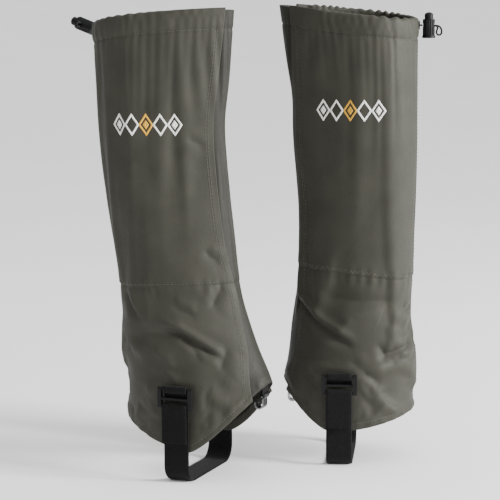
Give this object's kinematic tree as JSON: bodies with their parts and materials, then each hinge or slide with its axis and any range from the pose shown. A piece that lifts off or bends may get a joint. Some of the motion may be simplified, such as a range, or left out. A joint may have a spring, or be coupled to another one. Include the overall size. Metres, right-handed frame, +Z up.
{
  "type": "knee-high gaiters",
  "caption": "Knee-high coated-cloth gaiters with a front hook-and-loop flap, drawcord rim with spring cord locks, and buckled webbing straps under the instep.",
  "frame": {"origin": "on the ground midway between the two gaiters, level with the undersides of the instep straps", "axes": "+Z up along the legs, -Y towards the viewer who sees both outer sides, +X from the right leg's gaiter to the left leg's"},
  "size_m": [0.3559, 0.1765, 0.4426],
  "materials": {
    "coated_cloth": "matte polyurethane-coated woven nylon, dark olive grey",
    "hook_and_loop": "black hook-and-loop tape",
    "elastic": "woven elastic",
    "binding": "narrow grosgrain binding",
    "emblem_thread": "satin embroidery thread",
    "cord": "braided black elastic cord",
    "eyelet_metal": "blackened eyelet",
    "black_plastic": "moulded black plastic",
    "spring_steel": "bright spring wire",
    "webbing": "black polyamide webbing",
    "hook_steel": "black-painted steel"
  },
  "bodies": {
    "right_gaiter": {"right_outer_upper_panel": "coated_cloth", "right_inner_upper_panel": "coated_cloth", "right_outer_lower_panel": "coated_cloth", "right_inner_lower_panel": "coated_cloth", "right_front_underlap": "coated_cloth", "right_underlap_hook_tape": "hook_and_loop", "right_drawcord_casing": "coated_cloth", "right_ankle_elastic": "elastic", "right_hem_binding": "binding", "right_emblem": "emblem_thread", "right_drawcord_outer_run": "cord", "right_drawcord_inner_run": "cord", "right_drawcord_eyelet": "eyelet_metal", "right_strap_outer_run": "webbing", "right_strap_inner_end": "webbing", "right_buckle_tab": "webbing", "right_hook_tab": "webbing", "right_hook_pin": "hook_steel"},
    "right_flap": {"right_front_flap": "coated_cloth", "right_flap_loop_tape": "hook_and_loop"},
    "right_lock": {"right_lock_barrel": "black_plastic", "right_lock_spring": "spring_steel", "right_drawcord_tail": "cord"},
    "right_button": {"right_lock_plunger": "black_plastic"},
    "right_buckle": {"right_strap_buckle": "black_plastic", "right_strap_tail": "webbing"},
    "right_instep": {"right_instep_strap": "webbing"},
    "right_hook": {"right_lace_hook": "hook_steel"},
    "left_gaiter": {"left_outer_upper_panel": "coated_cloth", "left_inner_upper_panel": "coated_cloth", "left_outer_lower_panel": "coated_cloth", "left_inner_lower_panel": "coated_cloth", "left_front_underlap": "coated_cloth", "left_underlap_hook_tape": "hook_and_loop", "left_drawcord_casing": "coated_cloth", "left_ankle_elastic": "elastic", "left_hem_binding": "binding", "left_emblem": "emblem_thread", "left_drawcord_outer_run": "cord", "left_drawcord_inner_run": "cord", "left_drawcord_eyelet": "eyelet_metal", "left_strap_outer_run": "webbing", "left_strap_inner_end": "webbing", "left_buckle_tab": "webbing", "left_hook_tab": "webbing", "left_hook_pin": "hook_steel"},
    "left_flap": {"left_front_flap": "coated_cloth", "left_flap_loop_tape": "hook_and_loop"},
    "left_lock": {"left_lock_barrel": "black_plastic", "left_lock_spring": "spring_steel", "left_drawcord_tail": "cord"},
    "left_button": {"left_lock_plunger": "black_plastic"},
    "left_buckle": {"left_strap_buckle": "black_plastic", "left_strap_tail": "webbing"},
    "left_instep": {"left_instep_strap": "webbing"},
    "left_hook": {"left_lace_hook": "hook_steel"}
  },
  "joints": [
    {"name": "right_flap_hinge", "type": "hinge", "parent": "right_gaiter", "child": "right_flap", "pos_m": [-0.05788, -0.08988, 0.04], "axis": [0.0739, -0.0954, -0.9927], "range_deg": [0, 110]},
    {"name": "right_lock_pull", "type": "slide", "parent": "right_gaiter", "child": "right_lock", "axis": [-0.9272, 0.3746, 0], "range_m": [0, 0.02]},
    {"name": "right_lock_press", "type": "slide", "parent": "right_lock", "child": "right_button", "axis": [-0.8713, 0.352, 0.3419], "range_m": [-0.003, 0], "stiffness_N_per_m": 700, "springref_m": 0.002, "deforming": ["right_lock_spring"]},
    {"name": "right_buckle_tilt", "type": "hinge", "parent": "right_gaiter", "child": "right_buckle", "pos_m": [-0.08772, -0.08448, 0.0889], "axis": [-0.9272, 0.3746, 0], "range_deg": [0, 25]},
    {"name": "right_instep_swing", "type": "hinge", "parent": "right_gaiter", "child": "right_instep", "pos_m": [-0.06723, -0.03375, 0.036], "axis": [-0.3746, -0.9272, 0], "range_deg": [-25, 25]},
    {"name": "right_hook_swing", "type": "hinge", "parent": "right_gaiter", "child": "right_hook", "pos_m": [-0.00471, -0.05901, 0.07799], "axis": [-0.3746, -0.9272, 0], "range_deg": [-15, 50]},
    {"name": "left_flap_hinge", "type": "hinge", "parent": "left_gaiter", "child": "left_flap", "pos_m": [0.04046, -0.00964, 0.04], "axis": [0.0084, 0.0084, 0.9999], "range_deg": [0, 110]},
    {"name": "left_lock_pull", "type": "slide", "parent": "left_gaiter", "child": "left_lock", "axis": [0.9945, -0.1045, 0], "range_m": [0, 0.02]},
    {"name": "left_lock_press", "type": "slide", "parent": "left_lock", "child": "left_button", "axis": [0, 0, 1], "range_m": [-0.003, 0], "stiffness_N_per_m": 700, "springref_m": 0.002, "deforming": ["left_lock_spring"]},
    {"name": "left_buckle_tilt", "type": "hinge", "parent": "left_gaiter", "child": "left_buckle", "pos_m": [0.06681, -0.02388, 0.0889], "axis": [-0.9945, 0.1045, 0], "range_deg": [0, 25]},
    {"name": "left_instep_swing", "type": "hinge", "parent": "left_gaiter", "child": "left_instep", "pos_m": [0.07252, 0.03042, 0.036], "axis": [-0.1045, -0.9945, 0], "range_deg": [-25, 25]},
    {"name": "left_hook_swing", "type": "hinge", "parent": "left_gaiter", "child": "left_hook", "pos_m": [0.02002, 0.03594, 0.06545], "axis": [0.1045, 0.9945, 0], "range_deg": [-15, 50]},
    {"name": "left_stand_shift", "type": "slide", "parent": "right_gaiter", "child": "left_gaiter", "axis": [1, 0, 0], "range_m": [0, 0.1]}
  ]
}
